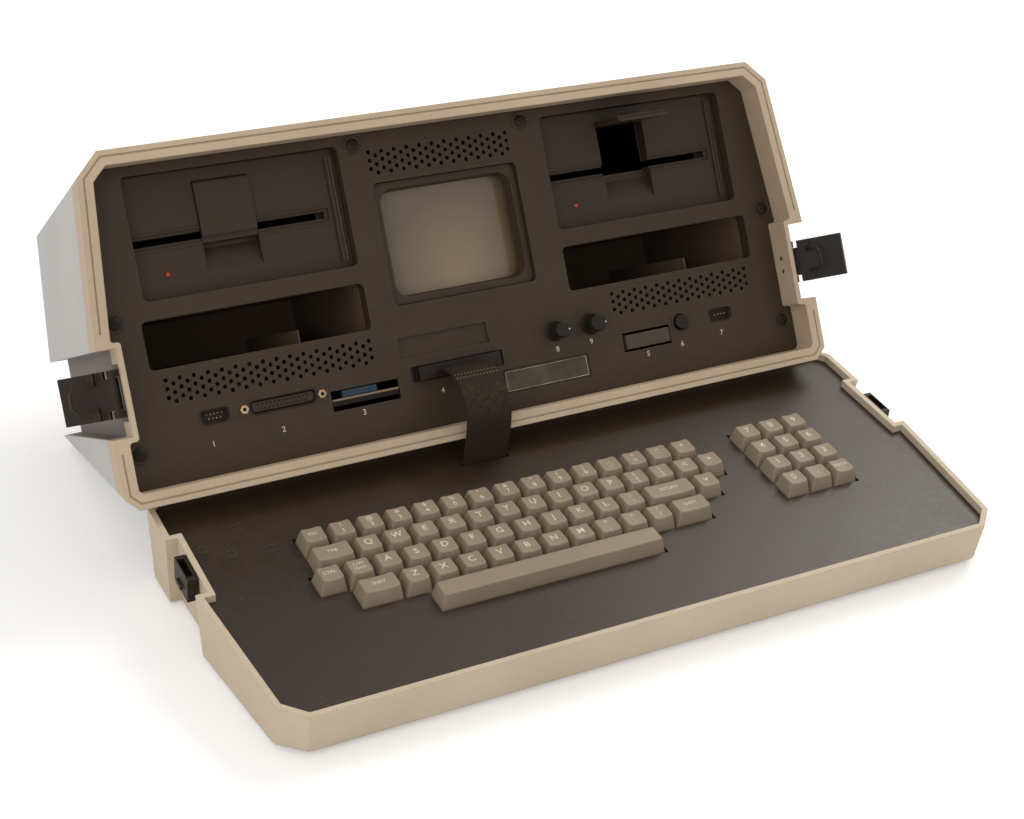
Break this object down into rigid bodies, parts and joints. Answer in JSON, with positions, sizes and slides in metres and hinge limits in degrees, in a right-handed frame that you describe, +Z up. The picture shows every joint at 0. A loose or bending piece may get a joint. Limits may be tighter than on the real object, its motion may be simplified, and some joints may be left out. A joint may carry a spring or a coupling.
{
  "type": "luggable computer",
  "caption": "Luggable desktop computer set up for use: leaning main unit with small screen and two disk drives, resting on a separate keyboard lid joined by a flat cable.",
  "frame": {"origin": "middle of the footprint of both units, on the surface they stand on", "axes": "+X to the user's right, -Y towards the user, +Z up"},
  "size_m": [0.5594, 0.485, 0.2637],
  "materials": {
    "case_plastic": "textured moulded plastic, aged cream",
    "panel_plastic": "dark brown textured plastic",
    "drive_plastic": "dark brown moulded plastic",
    "chassis_steel": "plated sheet steel",
    "lamp": "red lamp lens",
    "grille_steel": "painted perforated steel",
    "tube_glass": "grey picture tube glass",
    "board": "glass fibre board",
    "black_plastic": "black moulded plastic",
    "plated_brass": "plated brass",
    "knob_plastic": "black knob plastic",
    "latch_steel": "black paint worn to the metal at its edges",
    "wire_steel": "spring wire",
    "foot_rubber": "rubber",
    "key_plastic": "taupe key plastic",
    "cable_vinyl": "black braided sleeve"
  },
  "bodies": {
    "main_unit": {"rear_case": "case_plastic", "front_frame": "case_plastic", "front_panel": "panel_plastic", "grille_top": "grille_steel", "grille_left": "grille_steel", "grille_right": "grille_steel", "drive_face_left": "drive_plastic", "drive_face_right": "drive_plastic", "drive_body_left": "chassis_steel", "drive_body_right": "chassis_steel", "drive_lamps": "lamp", "disk_bay_left": "drive_plastic", "disk_bay_right": "drive_plastic", "screen_mask": "panel_plastic", "picture_tube": "tube_glass", "main_board": "board", "power_supply": "chassis_steel", "modem_socket": "black_plastic", "serial_socket": "black_plastic", "battery_socket": "black_plastic", "serial_jackscrews": "plated_brass", "cable_socket": "black_plastic", "panel_controls": "black_plastic", "latch_bracket_left": "latch_steel", "latch_bracket_right": "latch_steel", "handle_lugs": "black_plastic", "power_inlet": "black_plastic", "rear_feet": "foot_rubber", "cable_plug": "black_plastic", "keyboard_cable": "cable_vinyl"},
    "keyboard_unit": {"keyboard_case": "case_plastic", "keyboard_bezel": "panel_plastic", "switch_plate": "chassis_steel", "key_circuit": "board", "latch_keeper_left": "latch_steel", "latch_keeper_right": "latch_steel", "keyboard_feet": "foot_rubber", "cable_clamp": "black_plastic"},
    "drive_door_left": {"drive_door_left": "drive_plastic"},
    "drive_door_right": {"drive_door_right": "drive_plastic"},
    "brightness_knob": {"brightness_knob": "knob_plastic"},
    "contrast_knob": {"contrast_knob": "knob_plastic"},
    "reset_button": {"reset_button": "knob_plastic"},
    "latch_lever_left": {"latch_lever_left": "latch_steel"},
    "latch_link_left": {"latch_link_left": "wire_steel"},
    "latch_lever_right": {"latch_lever_right": "latch_steel"},
    "latch_link_right": {"latch_link_right": "wire_steel"},
    "carry_handle": {"carry_handle": "black_plastic"},
    "power_rocker": {"power_rocker": "black_plastic"},
    "keys_row_1": {"keys_row_1": "key_plastic"},
    "keys_row_2": {"keys_row_2": "key_plastic"},
    "keys_row_3": {"keys_row_3": "key_plastic"},
    "keys_row_4": {"keys_row_4": "key_plastic"},
    "keypad_keys": {"keypad_keys": "key_plastic"},
    "alpha_lock_key": {"alpha_lock_key": "key_plastic"},
    "return_key": {"return_key": "key_plastic"},
    "left_shift_key": {"left_shift_key": "key_plastic"},
    "right_shift_key": {"right_shift_key": "key_plastic"},
    "keypad_enter_key": {"keypad_enter_key": "key_plastic"},
    "space_bar": {"space_bar": "key_plastic"}
  },
  "joints": [
    {"name": "keyboard_draw_out", "type": "slide", "parent": "main_unit", "child": "keyboard_unit", "axis": [0, -1, 0], "range_m": [0, 0.03], "deforming": ["keyboard_cable"]},
    {"name": "drive_door_left_hinge", "type": "hinge", "parent": "main_unit", "child": "drive_door_left", "pos_m": [-0.1545, 0.0617, 0.2274], "axis": [-1, 0, 0], "range_deg": [0, 88]},
    {"name": "drive_door_right_hinge", "type": "hinge", "parent": "main_unit", "child": "drive_door_right", "pos_m": [0.1405, 0.0617, 0.2274], "axis": [1, 0, 0], "range_deg": [0, 88]},
    {"name": "brightness_turn", "type": "hinge", "parent": "main_unit", "child": "brightness_knob", "pos_m": [0.057, -0.0143, 0.11349], "axis": [0, -0.891, 0.454], "range_deg": [-140, 140]},
    {"name": "contrast_turn", "type": "hinge", "parent": "main_unit", "child": "contrast_knob", "pos_m": [0.085, -0.0143, 0.11349], "axis": [0, -0.891, 0.454], "range_deg": [-140, 140]},
    {"name": "reset_press", "type": "slide", "parent": "main_unit", "child": "reset_button", "axis": [0, 0.891, -0.454], "range_m": [0, 0.0025], "stiffness_N_per_m": 500, "springref_m": -0.002},
    {"name": "latch_left_hinge", "type": "hinge", "parent": "main_unit", "child": "latch_lever_left", "pos_m": [-0.25104, -0.01016, 0.12821], "axis": [0, -0.454, -0.891], "range_deg": [-90, 45]},
    {"name": "latch_left_link_hinge", "type": "hinge", "parent": "latch_lever_left", "child": "latch_link_left", "pos_m": [-0.26214, -0.00367, 0.12491], "axis": [0, 0.454, 0.891], "range_deg": [-45, 90]},
    {"name": "latch_right_hinge", "type": "hinge", "parent": "main_unit", "child": "latch_lever_right", "pos_m": [0.25104, -0.01016, 0.12821], "axis": [0, 0.454, 0.891], "range_deg": [0, 135]},
    {"name": "latch_right_link_hinge", "type": "hinge", "parent": "latch_lever_right", "child": "latch_link_right", "pos_m": [0.25832, -0.02005, 0.13325], "axis": [0, -0.454, -0.891], "range_deg": [-45, 90]},
    {"name": "handle_hinge", "type": "hinge", "parent": "main_unit", "child": "carry_handle", "pos_m": [0, 0.22185, 0.08575], "axis": [1, 0, 0], "range_deg": [0, 110]},
    {"name": "power_switch_rock", "type": "hinge", "parent": "main_unit", "child": "power_rocker", "pos_m": [0.148, 0.18399, 0.04668], "axis": [1, 0, 0], "range_deg": [0, 16]},
    {"name": "keys_row_1_press", "type": "slide", "parent": "keyboard_unit", "child": "keys_row_1", "axis": [0, 0.1219, -0.9925], "range_m": [0, 0.0035], "stiffness_N_per_m": 1500, "springref_m": -0.0015},
    {"name": "keys_row_2_press", "type": "slide", "parent": "keyboard_unit", "child": "keys_row_2", "axis": [0, 0.1219, -0.9925], "range_m": [0, 0.0035], "stiffness_N_per_m": 1500, "springref_m": -0.0015},
    {"name": "keys_row_3_press", "type": "slide", "parent": "keyboard_unit", "child": "keys_row_3", "axis": [0, 0.1219, -0.9925], "range_m": [0, 0.0035], "stiffness_N_per_m": 1500, "springref_m": -0.0015},
    {"name": "keys_row_4_press", "type": "slide", "parent": "keyboard_unit", "child": "keys_row_4", "axis": [0, 0.1219, -0.9925], "range_m": [0, 0.0035], "stiffness_N_per_m": 1500, "springref_m": -0.0015},
    {"name": "keypad_keys_press", "type": "slide", "parent": "keyboard_unit", "child": "keypad_keys", "axis": [0, 0.1219, -0.9925], "range_m": [0, 0.0035], "stiffness_N_per_m": 1500, "springref_m": -0.0015},
    {"name": "alpha_lock_key_press", "type": "slide", "parent": "keyboard_unit", "child": "alpha_lock_key", "axis": [0, 0.1219, -0.9925], "range_m": [0, 0.0035], "stiffness_N_per_m": 400, "springref_m": -0.0015},
    {"name": "return_key_press", "type": "slide", "parent": "keyboard_unit", "child": "return_key", "axis": [0, 0.1219, -0.9925], "range_m": [0, 0.0035], "stiffness_N_per_m": 400, "springref_m": -0.0015},
    {"name": "left_shift_key_press", "type": "slide", "parent": "keyboard_unit", "child": "left_shift_key", "axis": [0, 0.1219, -0.9925], "range_m": [0, 0.0035], "stiffness_N_per_m": 400, "springref_m": -0.0015},
    {"name": "right_shift_key_press", "type": "slide", "parent": "keyboard_unit", "child": "right_shift_key", "axis": [0, 0.1219, -0.9925], "range_m": [0, 0.0035], "stiffness_N_per_m": 400, "springref_m": -0.0015},
    {"name": "keypad_enter_key_press", "type": "slide", "parent": "keyboard_unit", "child": "keypad_enter_key", "axis": [0, 0.1219, -0.9925], "range_m": [0, 0.0035], "stiffness_N_per_m": 400, "springref_m": -0.0015},
    {"name": "space_bar_press", "type": "slide", "parent": "keyboard_unit", "child": "space_bar", "axis": [0, 0.1219, -0.9925], "range_m": [0, 0.0035], "stiffness_N_per_m": 400, "springref_m": -0.0015}
  ]
}
